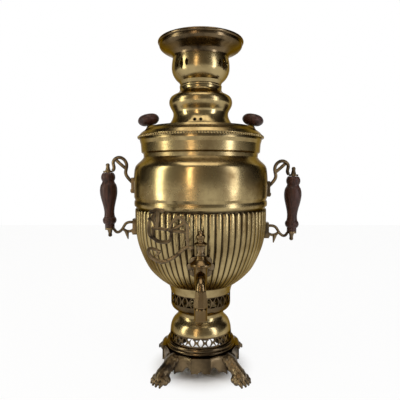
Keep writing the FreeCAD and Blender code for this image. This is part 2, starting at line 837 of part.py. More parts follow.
def make_key(axis, foot):
    """The openwork handle of the tap: bent bars in one upright plane, joined to an eye."""
    strokes = {
        "lower_scroll": [(-17, 10.5), (-24, 6), (-34, -2), (-48, -8), (-60, -3), (-65, 3), (-66, 11)],
        "lower_end": [(-66.5, 11), (-59, 8.5), (-52, 5)],
        "riser": [(-16, 10), (-17, 24), (-17, 36), (-21, 43), (-29, 48), (-36, 41), (-39, 33.5)],
        "knot": [(-38, 32.5), (-29, 36), (-20, 41)],
        "inner_bar": [(-38, 31), (-29, 30.5), (-17, 29)],
        "outer_bar": [(-60, 34.5), (-50, 33.5), (-37, 32)],
        "hook": [(-59.5, 34), (-60, 25), (-55, 19), (-47, 17), (-39, 19), (-36, 31)],
        "outer_arc": [(-65, 46), (-66.5, 34), (-64.5, 25), (-58, 20.5)],
        "leaf_stalk": [(-55.5, 33), (-54, 48), (-55, 58)],
        "leaf_top": [(-61.5, 56), (-55, 58), (-48, 57)],
    }
    bars = [round_bar("key_" + name, [(x, axis, foot + z) for x, z in points], dim.scroll_radius)
            for name, points in strokes.items()]
    arm = cylinder("key_arm", dim.scroll_radius * 1.5, 18, (0, axis, foot + 9.5), OUTWARD)
    place(arm, (-18, axis, foot + 9.5), OUTWARD)
    eye = cylinder("key_eye", dim.key_eye_radius, dim.key_eye_height, (0, axis, foot))
    hole = cylinder("key_hole", dim.stem_radius, dim.key_eye_height, (0, axis, foot))
    keep(cut("tap_handle", fuse("key_blank", bars + [arm, eye]), hole), "tap_handle")


# Side handles

def local(side, drop, along):
    """A point on a handle's tilted axis, measured up from the middle of its grip."""
    lean = math.radians(dim.handle_tilt.value)
    reach = dim.handle_reach + along * math.sin(lean)
    return (reach * side, 0, dim.handle_height - drop + along * math.cos(lean))


def make_handle(word, side, cores):
    drop = dim.right_handle_drop if side > 0 else as_size(0)
    tilt = Rotation(Vector(0, 1, 0), side * dim.handle_tilt.value)
    half = dim.grip_length / 2 + dim.seat_gap
    long = dim.grip_length
    wide = dim.grip_radius
    bore = dim.rod_radius + dim.grip_play
    grip = turned("handle_grip_" + word, (bore, 0), line(wide * 0.63, 0), line(wide * 0.63, long * 0.06),
                  arc((wide * 0.9, long * 0.12), (wide * 0.72, long * 0.19)),
                  curve((wide * 0.67, long * 0.23), (wide * 0.83, long * 0.43), (wide, long * 0.785)),
                  arc((wide * 0.88, long * 0.81), (wide * 0.78, long * 0.85)),
                  arc((wide * 0.93, long * 0.92), (wide * 0.7, long)), line(bore, long))
    place(grip, local(side, drop, -dim.grip_length / 2), tilt)
    keep(grip, "handle_grip_" + word)

    reach = half + dim.eye_thickness + dim.nut_thread
    rod = cylinder("handle_rod_" + word, dim.rod_radius, reach * 2, local(side, drop, -reach), tilt)
    keep(rod, "handle_rod_" + word)
    turned_over = tilt.multiply(Rotation(Vector(1, 0, 0), 180))
    for end, sign, turn in (("top", 1, tilt), ("bottom", -1, turned_over)):
        nut = turned("handle_%s_nut_%s" % (end, word), (dim.rod_radius, 0),
                     line(dim.handle_nut_radius, 0),
                     curve((2.9, 5.2), (2.8, 7), (3.1, 9), (2, dim.handle_nut_height - 0.6),
                           (0, dim.handle_nut_height)),
                     line(0, dim.nut_thread), line(dim.rod_radius, dim.nut_thread))
        place(nut, local(side, drop, (half + dim.eye_thickness) * sign), turn)
        keep(nut, "handle_%s_nut_%s" % (end, word))

    upper = [(103, 279), (110, 286), (116.2, 296), (114.8, 308.6), (122.5, 319.6), (130, 319.8),
             (135.6, 313), (134.4, 304.5), (136.6, 300)]
    strut = [(130.5, 316), (123.5, 309.5), (115.5, 303)]
    lower = [(101, 218.5), (109.6, 220.3), (115.3, 218.5), (121, 210.3), (127.6, 204.8), (134.4, 209.8)]
    branch = [(120.5, 210), (111.4, 206), (102, 211)]
    make_bracket("upper", word, side, drop, [upper, strut], dim.upper_bar_radius,
                 dim.upper_lug_height, half, cores.shell, tilt)
    make_bracket("lower", word, side, drop, [lower, branch], dim.lower_bar_radius,
                 dim.lower_lug_height, -half - dim.eye_thickness, cores.bowl, tilt)


def make_bracket(end, word, side, drop, paths, radius, lug_height, eye_at, core, tilt):
    """A scroll bracket: a lug trimmed to the body, bent bars and the eye that holds the rod."""
    name = "handle_%s_bracket_%s" % (end, word)
    bars = []
    for number, path in enumerate(paths):
        points = [(side * x, 0, z - drop) for x, z in path]
        bars.append(round_bar("%s_bar_%d" % (name, number), points, radius))
    inner = dim.body_radius - 14
    outer = dim.body_radius + dim.lug_thickness + (2 if end == "upper" else 0)
    depth = outer - inner
    start = inner if side > 0 else -outer
    lug = box(name + "_lug", depth, dim.lug_width, dim.lug_height,
              (start, -dim.lug_width / 2, lug_height - drop - dim.lug_height / 2))
    eye = cylinder(name + "_eye", dim.eye_radius, dim.eye_thickness, local(side, drop, eye_at), tilt)
    solids = bars + [lug, eye]
    if end == "lower":
        tail = cone(name + "_tail", 0.8, 3.8, 13, (side * 112.4, 0, 194 - drop),
                    Rotation(Vector(0, 0, 1), Vector(side * 2.4, 0, 12.5)))
        solids.append(tail)
    bore = cylinder(name + "_bore", dim.rod_radius, 30, local(side, drop, eye_at - 10), tilt)
    rivets = rivet_cylinders(name + "_rivet_hole", side, lug_height - drop)
    keep(cut(name, fuse(name + "_blank", solids), core, bore, *rivets), name)


def rivet_cylinders(name, side, height):
    """The two rivet shanks of one lug, from inside the wall to outside the lug."""
    found = []
    length = dim.lug_thickness + 12
    start = dim.body_radius - 7
    for number, step in enumerate((-0.5, 0.5)):
        at = (start if side > 0 else -start - length, dim.rivet_spacing * step, height - dim.rivet_drop)
        found.append(cylinder("%s_%d" % (name, number), dim.rivet_radius, length, at, OUTWARD))
    return found


# Lid

def lid_outline():
    """The top of the lid plate from the edge inwards."""
    edge = dim.lid_radius
    step = dim.lid_step_radius
    flat = dim.dome_foot_radius + 1.1
    return [(edge, lid_base), line(edge, lid_base + dim.lid_edge_height),
            line(edge - 4.2, lid_base + dim.lid_step_height * 0.545),
            line(step + 1.5, lid_base + dim.lid_step_height * 0.82), line(step, lid_step),
            line(flat, lid_top)]


def make_lid():
    wall = dim.lid_wall
    skirt = dim.body_radius - dim.mouth_inset - dim.sheet_wall - 1.5 - dim.lid_play
    step = dim.lid_step_radius
    edge = dim.lid_radius
    hole = dim.dome_foot_radius - 7
    outline = lid_outline()
    plate = turned("lid_plate_blank", *outline, line(hole, lid_top), line(hole, lid_top - wall),
                   line(step - wall, lid_step - wall), line(step, lid_base + dim.lid_step_height * 0.75),
                   line(edge - 6, lid_base + dim.lid_step_height * 0.47),
                   line(skirt - wall, lid_base + dim.lid_edge_height),
                   line(skirt - wall, lid_base - dim.lid_skirt_depth),
                   line(skirt, lid_base - dim.lid_skirt_depth), line(skirt, lid_base))
    core = turned("lid_core", (0, lid_base), line(edge, lid_base), *outline[1:], line(0, lid_top))
    seam_aside(plate)
    seam_aside(core)
    stems = []
    bolts = []
    nuts = []
    for word, side in SIDES.items():
        spot = dim.knob_spread * side
        lean = Rotation(Vector(0, 1, 0), side * dim.knob_tilt.value)
        surface = lid_step + dim.lid_plate_rise * 0.18
        post = cylinder("knob_post_" + word, dim.knob_stem_radius,
                        dim.knob_stem_rise + dim.knob_socket_depth + 5, (0, 0, -5))
        foot = cone("knob_foot_" + word, dim.knob_stem_radius + 4, dim.knob_stem_radius,
                    dim.knob_stem_rise + 2, (0, 0, -3))
        tilted = fuse("knob_tilted_" + word, [post, foot])
        place(tilted, (spot, 0, surface), lean)
        trimmed = cut("knob_trimmed_" + word, tilted, core)
        bolt = cylinder("knob_bolt_" + word, dim.knob_bolt_radius, 10, (spot, 0, surface - 8))
        stems.append(fuse("lid_knob_stem_" + word, [trimmed, bolt]))
        bolts.append(cylinder("lid_bolt_hole_" + word, dim.knob_bolt_radius, 20, (spot, 0, surface - 12)))
        keep(stems[-1], "lid_knob_stem_" + word)
        block = hexagon("knob_nut_blank_" + word, dim.knob_nut_radius, dim.knob_nut_height,
                        (spot, 0, surface - wall - 1.2 - dim.knob_nut_height))
        eye = cylinder("knob_nut_hole_" + word, dim.knob_bolt_radius, 20, (spot, 0, surface - 15))
        nuts.append(cut("knob_nut_" + word, block, eye))
        make_knob(word, side, spot, surface, lean)
    keep(cut("lid_plate", plate, *bolts), "lid_plate")
    keep(fuse("lid_knob_nuts", nuts), "lid_knob_nuts")
    bead = dim.beading_radius
    middle = lid_base + dim.lid_edge_height / 2
    keep(turned("lid_beading", (edge, middle - bead), arc((edge + bead, middle), (edge, middle + bead))),
         "lid_beading")
    make_dome()


def make_knob(word, side, spot, surface, lean):
    """A wooden bun on its stem."""
    wide = dim.knob_radius
    high = dim.knob_height
    post = dim.knob_stem_radius
    socket = dim.knob_socket_depth
    knob = turned("lid_knob_" + word, (post, 0), line(wide * 0.4, 0),
                  curve((wide * 0.8, high * 0.12), (wide, high * 0.45), (wide * 0.82, high * 0.82),
                        (wide * 0.45, high * 0.97), (0, high)),
                  line(0, socket), line(post, socket))
    angle = math.radians(dim.knob_tilt.value)
    rise = dim.knob_stem_rise
    place(knob, (spot + rise * (math.sin(angle) * side), 0, surface + rise * math.cos(angle)), lean)
    keep(knob, "lid_knob_" + word)


def make_dome():
    wall = dim.lid_wall
    low = (dim.dome_foot_radius, lid_top)
    high = (dim.dome_neck_radius, dome_top)
    points = shares(low, high, DOME_CURVE)
    dome = turned("lid_dome", *shell_steps(low, points, high, wall, -0.6))
    sketch = sketch_on(dome, "XZ_Plane", "vent_holes")
    level = lid_top + dim.vent_height
    draw_circle(sketch, 0, level, dim.vent_radius)
    draw_circle(sketch, -dim.vent_spacing, level, dim.vent_radius)
    pocket_through(dome, sketch, "vent_piercing")
    keep(dome, "lid_dome")


# Crown

def make_crown():
    wall = dim.sheet_wall
    spigot = dim.dome_neck_radius - dim.lid_wall - dim.crown_spigot_play
    outer = dim.crown_collar_radius
    neck = outer + 1.8
    keep(turned("crown_collar", (spigot - wall, crown_base - dim.crown_spigot_depth),
                line(spigot, crown_base - dim.crown_spigot_depth), line(spigot, crown_base),
                line(outer - 0.6, crown_base), arc((outer + 1, crown_base + 2), (outer - 0.4, crown_base + 4.2)),
                line(neck, cup_base), line(spigot - wall, cup_base)), "crown_collar")
    low = (neck, cup_base)
    high = (dim.cup_mouth_radius, flare_base)
    span = dim.cup_radius - neck
    points = [(neck + span * across, cup_base + dim.cup_height * up) for across, up in CUP_CURVE]
    cup = turned("crown_cup", *shell_steps(low, points, high, wall, 0))
    sketch = sketch_on(cup, "XZ_Plane", "cup_openings")
    middle = cup_base + dim.cup_height * 0.6
    tall = dim.cup_height * 0.27
    draw_outline(sketch, (0, middle - tall), arc((3.4, middle), (0, middle + tall)),
                 arc((-3.4, middle), (0, middle - tall)))
    for shift in (-9, 9):
        draw_outline(sketch, (shift, middle - tall * 0.6), arc((shift + 2.6, middle), (shift, middle + tall * 0.6)),
                     arc((shift - 2.6, middle), (shift, middle - tall * 0.6)))
    pocket = pocket_through(cup, sketch, "cup_piercing")
    polar_copies(cup, pocket, 4, "cup_ring")
    cup.Placement = Placement(Vector(0, 0, 0), Rotation(Vector(0, 0, 1), dim.crown_turn.value))
    keep(cup, "crown_cup")
    low = (dim.cup_mouth_radius, flare_base)
    high = (dim.crown_radius + 0.8, flare_top)
    points = shares(low, high, FLARE_CURVE)
    keep(turned("crown_flare", *shell_steps(low, points, high, wall, 0.7)), "crown_flare")
    lip = doc.addObject("Part::Torus", "crown_rim")
    bind(lip, "Radius1", dim.crown_radius)
    bind(lip, "Radius2", dim.crown_lip_radius)
    place(lip, (0, 0, flare_top + dim.crown_lip_radius))
    keep(lip, "crown_rim")


def make_rivets():
    """The rivets of the four lugs; each stops a hair short of the wall that its lug is soldered to."""
    solids = []
    far = dim.body_radius + dim.lug_thickness
    spans = {"upper": (dim.body_radius + dim.shell_bulge + 0.2, far + 2, dim.upper_lug_height),
             "lower": (dim.body_radius - 1.5, far, dim.lower_lug_height)}
    for word, side in SIDES.items():
        drop = dim.right_handle_drop if side > 0 else as_size(0)
        for end, (start, outer, level) in spans.items():
            for number, step in enumerate((-0.5, 0.5)):
                name = "rivet_%s_%s_%d" % (end, word, number)
                height = level - drop - dim.rivet_drop
                across = dim.rivet_spacing * step
                head = dim.rivet_head_height
                shank_at = start if side > 0 else -outer
                head_at = outer if side > 0 else -outer - head
                shank = cylinder(name + "_shank", dim.rivet_radius, outer - start,
                                 (shank_at, across, height), OUTWARD)
                cap = cylinder(name + "_head", dim.rivet_head_radius, head,
                               (head_at, across, height), OUTWARD)
                solids.append(fuse(name, [shank, cap]))
    keep(fuse("handle_rivets", solids), "handle_rivets")


make_plinth()
for foot_name, foot_angle in FEET.items():
    make_foot(foot_name, foot_angle)
make_foot_screws()
make_pedestal()
make_collar()
make_vessel()
make_fire_tube()
body_core = body_cores()
make_tap(body_core)
for side_word, side_sign in SIDES.items():
    make_handle(side_word, side_sign, body_core)
make_rivets()
make_lid()
make_crown()
doc.recompute()

for item in doc.Objects:
    if "Invalid" in item.State or "Error" in item.State:
        raise RuntimeError("%s was not made: %s" % (item.Label, item.State))
for piece in pieces:
    if piece.Shape.isNull() or not piece.Shape.isValid() or piece.Shape.Volume <= 0:
        raise RuntimeError("%s has no valid solid" % piece.Label)

os.makedirs("parts", exist_ok=True)
for piece in pieces:
    piece.Shape.exportStep("parts/%s.step" % piece.Label)
    print("%-32s %2d solid %10.1f mm3" % (piece.Label, len(piece.Shape.Solids), piece.Shape.Volume))
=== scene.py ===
import json
import math

import bmesh
import bpy
import numpy as np
from mathutils import Matrix, Vector


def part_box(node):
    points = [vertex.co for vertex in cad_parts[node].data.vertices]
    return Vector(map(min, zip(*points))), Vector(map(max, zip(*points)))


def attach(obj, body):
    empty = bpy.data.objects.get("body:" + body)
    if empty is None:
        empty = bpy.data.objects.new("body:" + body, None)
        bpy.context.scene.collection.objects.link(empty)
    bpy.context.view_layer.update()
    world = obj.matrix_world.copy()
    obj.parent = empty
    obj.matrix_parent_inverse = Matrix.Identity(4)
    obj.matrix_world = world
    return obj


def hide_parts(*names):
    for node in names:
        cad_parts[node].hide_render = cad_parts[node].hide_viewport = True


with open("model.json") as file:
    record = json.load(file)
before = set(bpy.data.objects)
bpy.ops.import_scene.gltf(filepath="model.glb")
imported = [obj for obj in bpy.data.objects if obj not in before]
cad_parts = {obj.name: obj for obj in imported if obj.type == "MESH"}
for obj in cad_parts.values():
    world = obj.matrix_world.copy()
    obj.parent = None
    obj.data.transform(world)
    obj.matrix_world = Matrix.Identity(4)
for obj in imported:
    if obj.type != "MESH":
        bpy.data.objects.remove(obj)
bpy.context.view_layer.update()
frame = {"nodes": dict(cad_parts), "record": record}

bl_info = {
    "name": "Charcoal samovar",
    "version": (1, 0, 0),
    "blender": (4, 5, 0),
    "location": "3D View > Sidebar > Samovar",
    "description": "Dresses the samovar with its fluted bowl, paw feet, beading and finishes",
    "category": "Object",
}

MM = 0.001

# The bowl's outside as shares of the way from its foot to its rim: (outwards, upwards).
BOWL_PROFILE = [(0.0, 0.0), (0.102, 0.024), (0.287, 0.081), (0.473, 0.154), (0.624, 0.236),
                (0.806, 0.39), (0.927, 0.537), (0.986, 0.70), (1.0, 0.886), (1.0, 1.0)]
# The bowl's outer radius at its foot; its rim is at the edge of its box.
BOWL_FOOT_RADIUS = 50.5 * MM
BOWL_WALL = 1.9 * MM
# Rows of the bowl's mesh in each span of the profile, and its columns in each reed.
BOWL_SPAN_ROWS = 14
REED_COLUMNS = 12
# Half of a reed's width, as a share of the way from one reed to the next.
REED_HALF_WIDTH = 0.41
# From the bowl's foot up to the reeds' feet.
REED_FOOT = 3.5 * MM

# Strokes of the key's openwork: a radius, then points (across, up from the key's foot), in
# millimetres.
KEY_STROKES = [
    (2.3, [(-8, 10), (-17, 10.5), (-24, 6), (-34, -2), (-48, -8), (-60, -3), (-65, 3),
           (-65, 9.5)]),
    (1.8, [(-65, 9.5), (-59, 8.5), (-52, 5), (-56, 0)]),
    (2.0, [(-16, 10), (-17, 24), (-17, 36), (-21, 43), (-29, 48), (-36, 41), (-39, 33.5)]),
    (1.8, [(-38, 32.5), (-29, 36), (-20, 41)]),
    (1.9, [(-38, 31), (-29, 30.5), (-17, 29)]),
    (1.8, [(-60, 34.5), (-50, 33.5), (-37, 32)]),
    (2.1, [(-59.5, 34), (-60, 25), (-55, 19), (-47, 17), (-39, 19), (-36, 31)]),
    (1.9, [(-64, 46), (-65.5, 34), (-63.5, 25), (-58, 20.5)]),
    (2.6, [(-55.5, 33), (-54, 48), (-55, 57)]),
    (2.2, [(-61.5, 55), (-55, 57), (-48, 56)]),
    (2.4, [(-57, 40), (-60, 47), (-57, 54)]),
]
# Buds where strokes meet or end: (across, up from the key's foot, radius), in millimetres.
KEY_BUDS = [(-52, 5, 2.5), (-38, 32, 3.4), (-60, 34, 2.3), (-64, 46, 2.4), (-61.5, 55, 2.5),
            (-48, 56, 2.5), (-20, 41, 2.3), (-17, 29, 2.3), (-17, 20, 2.5), (-29, 48, 2.2),
            (-12, 10, 3.4), (-22, 8, 2.9)]
# The collar round the key's stem: (share of its height, share of its radius).
KEY_COLLAR = [(0.0, 1.0), (0.08, 1.08), (0.2, 1.0), (0.3, 0.82), (0.7, 0.82), (0.8, 1.0),
              (0.92, 1.08), (1.0, 1.0)]
KEY_COLLAR_HEIGHT = 13 * MM
# The collar's radius, as a share of half the key's depth.
KEY_COLLAR_FIT = 0.93

# The spout's axis behind the front of the tap, and the height of its outlet below the skirt.
SPOUT_SETBACK = 7.85 * MM
OUTLET_HEIGHT = 13 * MM
# The skirt's outline: (up from the outlet's top, radius), in millimetres.
SKIRT_PROFILE = [(2.0, 8.0), (2.6, 9.0), (4.0, 9.2), (9.0, 8.4), (15.0, 7.5), (21.0, 6.6),
                 (22.0, 6.0)]

# Bearings of the feet, in degrees.
FEET = {"front_right": -45, "back_right": 45, "back_left": 135, "front_left": -135}

# Which finish each of the record's slots gets, and the sheet pieces that get painted shade,
# with a darker copy of the sheet brass than the rest.
FINISHES = {"sheet_brass": "spun_sheet_brass", "tap_brass": "cast_tap_brass",
            "cast_brass_dark": "sand_cast_brass", "walnut": "turned_walnut",
            "steel": "drawn_steel", "grate_iron": "cast_iron", "rubber_seal": "moulded_rubber"}
SHADED_PIECES = {"plinth", "crown_rim", "crown_flare", "lower_gallery", "upper_gallery", "base_ring"}
# Painted shade in corners and recesses, where ambient occlusion is low.
CORNER_SHADE = "#2a1c0e"
# Painted shade, with tarnish, in the bottoms of the reeds' grooves.
GROOVE_SHADE_AND_TARNISH = "#1b120a"
# Painted shade on the brass where it is seen at a slant.
SLANT_SHADE = "#4a3420"
BRASS_EDGE_TINT = "#c8b79a"

# The stage, in metres and watts.
CAMERA_SENSOR = 36
CAMERA_LENS = 35
CAMERA_SHIFT = (-0.0018, -0.0685)
CAMERA_NEAR = 0.01
# Sheets of pale paper: corners, and how white the camera and reflections see them.
SHEETS = {
    "floor": ([(-4, -4, 0), (4, -4, 0), (4, 4, 0), (-4, 4, 0)], 0.95),
    "backdrop": ([(-2.4, 1.6, -0.2), (2.4, 1.6, -0.2), (2.4, 1.6, 2.2), (-2.4, 1.6, 2.2)], 1.0),
}
# The floor has no glow this near its middle and its full glow this far out, so that the dark
# under the object shows.
SHADOW_INNER, SHADOW_OUTER = 0.035, 0.085
PAPER = "#f4f4f4"
ROOM_DARK = "#2c2621"
ROOM_PALE = "#98938a"
ROOM_STRENGTH = 0.75
# Each lamp: bearing from the camera's side in degrees, distance, level, width, height, power
# and tint.
LAMPS = {
    "left_panel": (-68, 1.25, 0.45, 0.26, 1.3, 9, "#f4f6ea"),
    "slit": (-17, 1.5, 0.6, 0.12, 1.3, 4.5, "#ffe3c0"),
    "right_panel": (53, 1.3, 0.45, 0.24, 1.3, 8, "#eef3ff"),
    "overhead": (0, 0.3, 1.7, 1.2, 1.2, 12, "#fff8ee"),
}
LAMPS_AIM = Vector((0, 0, 0.25))


# Colours and sizes

def srgb(code):
    """A hex colour as linear RGBA."""
    parts = [int(code[start:start + 2], 16) / 255 for start in (1, 3, 5)]
    linear = [c / 12.92 if c <= 0.04045 else ((c + 0.055) / 1.055) ** 2.4 for c in parts]
    return tuple(linear) + (1.0,)


def colour_property(name, description, code):
    return bpy.props.FloatVectorProperty(name=name, description=description, subtype="COLOR",
                                         size=4, min=0, max=1, default=srgb(code))


def length_property(name, description, millimetres):
    return bpy.props.FloatProperty(name=name, description=description, default=millimetres * MM,
                                   min=0, precision=4, subtype="DISTANCE", unit="LENGTH")


class SamovarSizes(bpy.types.PropertyGroup):
    reed_count: bpy.props.IntProperty(
        name="Reeds", description="Upright reeds round the bowl", default=64, min=8)
    reed_depth: length_property("Reed depth", "How far a reed stands out of its groove", 1.7)
    reed_top: length_property("Reed top", "From the bowl's rim down to the tops of the reeds", 8.5)
    bead_count: bpy.props.IntProperty(
        name="Beads", description="Beads round the edge of the lid", default=150, min=12)
    bead_radius: length_property("Bead radius", "Size of one bead on the lid's edge", 1.9)
    toe_radius: length_property("Toe radius", "Thickness of a paw's toe", 3.9)
    camera_distance: length_property("Camera distance", "From the body's axis to the lens", 603)
    camera_height: length_property("Camera height", "Eye level above the table", 297)


class SamovarColours(bpy.types.PropertyGroup):
    brass: colour_property("Brass", "Rubbed sheet brass", "#a9966b")
    patina: colour_property("Patina", "Brown tarnish on the sheet brass", "#5c482b")
    cast: colour_property("Cast brass", "Cast pieces where hands rub them", "#77654a")
    # The dark cast colour is the cast brass's tarnish and also its painted shade in recesses.
    cast_dark: colour_property("Cast recesses", "Cast pieces in their recesses", "#261e16")
    wood: colour_property("Wood", "Lighter grain of the walnut", "#4e2f25")
    wood_dark: colour_property("Dark grain", "Darker grain of the walnut", "#23150f")
    steel: colour_property("Steel", "Plain steel pins and screws", "#8d8a84")
    iron: colour_property("Iron", "Cast iron grate", "#35322f")
    rubber: colour_property("Rubber", "Black sealing washer", "#1a1a1a")


def chosen_sizes():
    return bpy.context.scene.samovar_sizes


# Material tools

# Settings of a mix of two colours: its colours are inputs 6 and 7, and its result is output 2.
OF_COLOURS = {"data_type": "RGBA"}


def add_node(tree, kind, options=None, **inputs):
    """Add one node with its settings, and link or set its inputs.

    An input is given by its name, with _ for each space, or by its number, such as i0.
    """
    made = tree.nodes.new("ShaderNode" + kind)
    for name, value in (options or {}).items():
        setattr(made, name, value)
    for name, value in inputs.items():
        numbered = name[0] == "i" and name[1:].isdigit()
        socket = made.inputs[int(name[1:]) if numbered else name.replace("_", " ")]
        if isinstance(value, bpy.types.NodeSocket):
            tree.links.new(value, socket)
        else:
            socket.default_value = value
    return made


def new_material(name):
    """The empty node tree of a new material."""
    material = bpy.data.materials.new(name)
    material.use_nodes = True
    material.node_tree.nodes.clear()
    return material.node_tree


def finish_of(name):
    return bpy.data.materials[name]


def per(millimetres):
    """The scale that makes a pattern's features this large."""
    return 1 / (millimetres * MM)


def spun_brass(name, bright, dark, wear=0.0):
    """Sheet brass, spun on a lathe, polished long ago and left to tarnish.

    Fine rings from the spinning tool stretch each highlight, soft brown clouds of tarnish dull
    it, and corners and recesses get painted shade from ambient occlusion.
    """
    tree = new_material(name)
    place = add_node(tree, "TexCoord").outputs["Object"]
    clouds = add_node(tree, "TexNoise", Vector=place, Scale=per(45), Detail=5.0, Roughness=0.6)
    # The tool's rings are under half a millimetre apart. They are drawn 1.1 mm apart, to show.
    rings_at = add_node(tree, "Mapping", Vector=place, Scale=(12, 12, 900))
    rings = add_node(tree, "TexNoise", Vector=rings_at.outputs[0], Scale=1.0, Detail=2.0)
    # Painted shade: the colour darkens towards the corner shade colour where ambient occlusion finds
    # corners and recesses.
    corners = add_node(tree, "AmbientOcclusion", {"samples": 6}, Distance=12 * MM)
    reach = add_node(tree, "MapRange", Value=corners.outputs["AO"], From_Min=0.25, From_Max=0.85)
    tarnish = add_node(tree, "MapRange", Value=clouds.outputs["Fac"], From_Min=0.38 - wear,
                       From_Max=0.74 - wear)
    grooves = add_node(tree, "Attribute", {"attribute_name": "groove"})
    rubbed = add_node(tree, "Mix", OF_COLOURS, i0=tarnish.outputs[0], i6=bright, i7=dark)
    shaded = add_node(tree, "Mix", OF_COLOURS, i0=reach.outputs[0], i6=srgb(CORNER_SHADE),
                      i7=rubbed.outputs[2])
    # Painted shade: the brass is darkened to brown where it is seen at a slant, towards its edges.
    slant_weight = add_node(tree, "LayerWeight", Blend=0.45)
    edge = add_node(tree, "MapRange", Value=slant_weight.outputs["Facing"], From_Min=0.30, From_Max=0.95,
                    To_Max=0.85)
    slant_shaded = add_node(tree, "Mix", OF_COLOURS, i0=edge.outputs[0], i6=shaded.outputs[2],
                      i7=srgb(SLANT_SHADE))
    # Painted shade with tarnish: the groove attribute darkens the bottoms of the reeds' grooves.
    base = add_node(tree, "Mix", OF_COLOURS, i0=grooves.outputs["Fac"], i6=slant_shaded.outputs[2],
                    i7=srgb(GROOVE_SHADE_AND_TARNISH))
    rough = add_node(tree, "MapRange", Value=clouds.outputs["Fac"], From_Min=0.3, From_Max=0.75,
                     To_Min=0.17, To_Max=0.36)
    dents_at = add_node(tree, "TexNoise", Vector=place, Scale=per(30), Detail=1.0)
    dents = add_node(tree, "Bump", Strength=0.12, Distance=1.2 * MM,
                     Height=dents_at.outputs["Fac"])
    bump = add_node(tree, "Bump", Strength=0.10, Distance=0.12 * MM, Height=rings.outputs["Fac"],
                    Normal=dents.outputs[0])
    shader = add_node(tree, "BsdfPrincipled", Base_Color=base.outputs[2], Metallic=1.0,
                      Roughness=rough.outputs[0], Normal=bump.outputs[0],
                      Specular_Tint=srgb(BRASS_EDGE_TINT))
    add_node(tree, "OutputMaterial", Surface=shader.outputs["BSDF"])


def sand_cast_brass(name, bright, dark):
    """Brass cast in sand and only fettled: grainy, tarnished, and nearly black in painted shade in
    recesses.
    """
    tree = new_material(name)
    place = add_node(tree, "TexCoord").outputs["Object"]
    clouds = add_node(tree, "TexNoise", Vector=place, Scale=per(16), Detail=6.0)
    # Moulding sand is about 0.3 mm. Its marks are drawn at 1.2 mm, to show.
    grain = add_node(tree, "TexNoise", Vector=place, Scale=per(1.2), Detail=2.0)
    # Painted shade: where ambient occlusion finds recesses, the colour goes to the dark cast colour.
    corners = add_node(tree, "AmbientOcclusion", {"samples": 6}, Distance=8 * MM)
    reach = add_node(tree, "MapRange", Value=corners.outputs["AO"], From_Min=0.35, From_Max=0.95)
    tarnish = add_node(tree, "MapRange", Value=clouds.outputs["Fac"], From_Min=0.42,
                       From_Max=0.68)
    rubbed = add_node(tree, "Mix", OF_COLOURS, i0=tarnish.outputs[0], i6=bright, i7=dark)
    base = add_node(tree, "Mix", OF_COLOURS, i0=reach.outputs[0], i6=dark, i7=rubbed.outputs[2])
    rough = add_node(tree, "MapRange", Value=clouds.outputs["Fac"], To_Min=0.28, To_Max=0.52)
    bump = add_node(tree, "Bump", Strength=0.35, Distance=0.3 * MM, Height=grain.outputs["Fac"])
    shader = add_node(tree, "BsdfPrincipled", Base_Color=base.outputs[2], Metallic=0.92,
                      Roughness=rough.outputs[0], Normal=bump.outputs[0])
    add_node(tree, "OutputMaterial", Surface=shader.outputs["BSDF"])


def turned_walnut(name, light, dark):
    """Walnut turned on a lathe and dulled by hands: long dark grain, small pores, a low sheen."""
    tree = new_material(name)
    place = add_node(tree, "TexCoord").outputs["Object"]
    # Lines of grain 3.3 mm apart and 36 mm long, coarser than walnut's, to show.
    along = add_node(tree, "Mapping", Vector=place, Scale=(300, 300, 28))
    grain = add_node(tree, "TexNoise", Vector=along.outputs[0], Scale=1.0, Detail=7.0,
                     Roughness=0.65)
    bands = add_node(tree, "MapRange", Value=grain.outputs["Fac"], From_Min=0.35, From_Max=0.68)
    base = add_node(tree, "Mix", OF_COLOURS, i0=bands.outputs[0], i6=dark, i7=light)
    rough = add_node(tree, "MapRange", Value=grain.outputs["Fac"], To_Min=0.55, To_Max=0.40)
    bump = add_node(tree, "Bump", Strength=0.25, Distance=0.2 * MM, Height=grain.outputs["Fac"])
    shader = add_node(tree, "BsdfPrincipled", Base_Color=base.outputs[2], Roughness=rough.outputs[0],
                      Specular_IOR_Level=0.28, Normal=bump.outputs[0])
    add_node(tree, "OutputMaterial", Surface=shader.outputs["BSDF"])


def plain_stock(name, colour, metallic, smoothest, roughest, grain_size):
    """Drawn steel, cast iron or moulded rubber: one colour, a fine tooth and an uneven sheen.

    The tooth is drawn at grain_size millimetres, coarser than the real one, to show.
    """
    tree = new_material(name)
    place = add_node(tree, "TexCoord").outputs["Object"]
    grain = add_node(tree, "TexNoise", Vector=place, Scale=per(grain_size), Detail=4.0)
    darker = tuple(c * 0.55 for c in colour[:3]) + (1.0,)
    base = add_node(tree, "Mix", OF_COLOURS, i0=grain.outputs["Fac"], i6=colour, i7=darker)
    rough = add_node(tree, "MapRange", Value=grain.outputs["Fac"], To_Min=smoothest,
                     To_Max=roughest)
    bump = add_node(tree, "Bump", Strength=0.3, Distance=grain_size * 0.1 * MM,
                    Height=grain.outputs["Fac"])
    shader = add_node(tree, "BsdfPrincipled", Base_Color=base.outputs[2], Metallic=metallic,
                      Roughness=rough.outputs[0], Normal=bump.outputs[0])
    add_node(tree, "OutputMaterial", Surface=shader.outputs["BSDF"])


